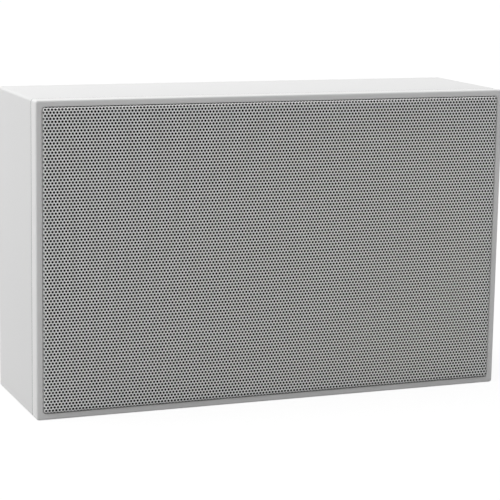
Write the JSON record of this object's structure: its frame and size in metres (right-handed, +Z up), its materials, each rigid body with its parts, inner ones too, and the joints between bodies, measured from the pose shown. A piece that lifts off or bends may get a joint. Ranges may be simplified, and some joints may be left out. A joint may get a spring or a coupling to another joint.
{
  "type": "loudspeaker",
  "caption": "Flat rectangular shelf loudspeaker: white closed cabinet with a fine joint line, front frame and a perforated grille over a cone woofer and a dome tweeter.",
  "frame": {"origin": "middle of the cabinet's footprint, on the surface it stands on", "axes": "+Z up, the perforated front faces -Y, X along the width"},
  "size_m": [0.442, 0.13, 0.276],
  "materials": {
    "cabinet_lacquer": "white satin lacquer on fibreboard",
    "frame_white": "white satin moulded frame",
    "grille_white": "white powder coat on perforated steel",
    "black_cloth": "black open cloth",
    "baffle_fibreboard": "fibreboard painted matt black",
    "back_foil": "white textured foil on fibreboard",
    "black_screw": "black phosphated steel",
    "insert_brass": "turned brass",
    "basket_black": "black painted pressed steel",
    "surround_rubber": "black rubber",
    "cone_paper": "dark pressed paper",
    "spider_cloth": "resin-dipped cloth",
    "coil_former": "copper winding on an aluminium former",
    "motor_steel": "zinc plated steel",
    "ferrite": "sintered ferrite",
    "tweeter_black": "black moulded plastic",
    "tweeter_silk": "coated cloth",
    "tweeter_motor_black": "black painted steel can",
    "terminal_black": "black textured plastic",
    "socket_red": "red collar on a plated socket",
    "socket_black": "black collar on a plated socket",
    "nut_brass": "brass",
    "circuit_board": "green laminate",
    "copper_wire": "enamelled copper winding",
    "capacitor_film": "yellow film",
    "resistor_cement": "white cement",
    "lead_sleeve": "black flexible sleeve",
    "wadding_fleece": "off-white fleece"
  },
  "bodies": {
    "cabinet": {"cabinet_wrap": "cabinet_lacquer", "front_frame": "frame_white", "grille": "grille_white", "acoustic_cloth": "black_cloth", "baffle_board": "baffle_fibreboard", "back_panel": "back_foil", "back_screws": "black_screw", "woofer_screws": "black_screw", "tweeter_screws": "black_screw", "terminal_screws": "black_screw", "mounting_inserts": "insert_brass", "woofer_basket": "basket_black", "woofer_surround": "surround_rubber", "woofer_spider": "spider_cloth", "woofer_top_plate": "motor_steel", "woofer_yoke": "motor_steel", "woofer_magnet": "ferrite", "tweeter_faceplate": "tweeter_black", "tweeter_diaphragm": "tweeter_silk", "tweeter_motor": "tweeter_motor_black", "terminal_cup": "terminal_black", "socket_positive": "socket_red", "socket_negative": "socket_black", "socket_nuts": "nut_brass", "crossover_board": "circuit_board", "crossover_coil": "copper_wire", "crossover_capacitor": "capacitor_film", "crossover_resistor": "resistor_cement", "woofer_lead": "lead_sleeve", "tweeter_lead": "lead_sleeve", "damping_wadding": "wadding_fleece"},
    "cone_assembly": {"woofer_cone": "cone_paper", "woofer_dust_cap": "cone_paper", "woofer_voice_coil": "coil_former"}
  },
  "joints": [
    {"name": "cone_travel", "type": "slide", "parent": "cabinet", "child": "cone_assembly", "axis": [0, -1, 0], "range_m": [-0.004, 0.004], "stiffness_N_per_m": 2000, "deforming": ["woofer_surround", "woofer_spider"]}
  ]
}
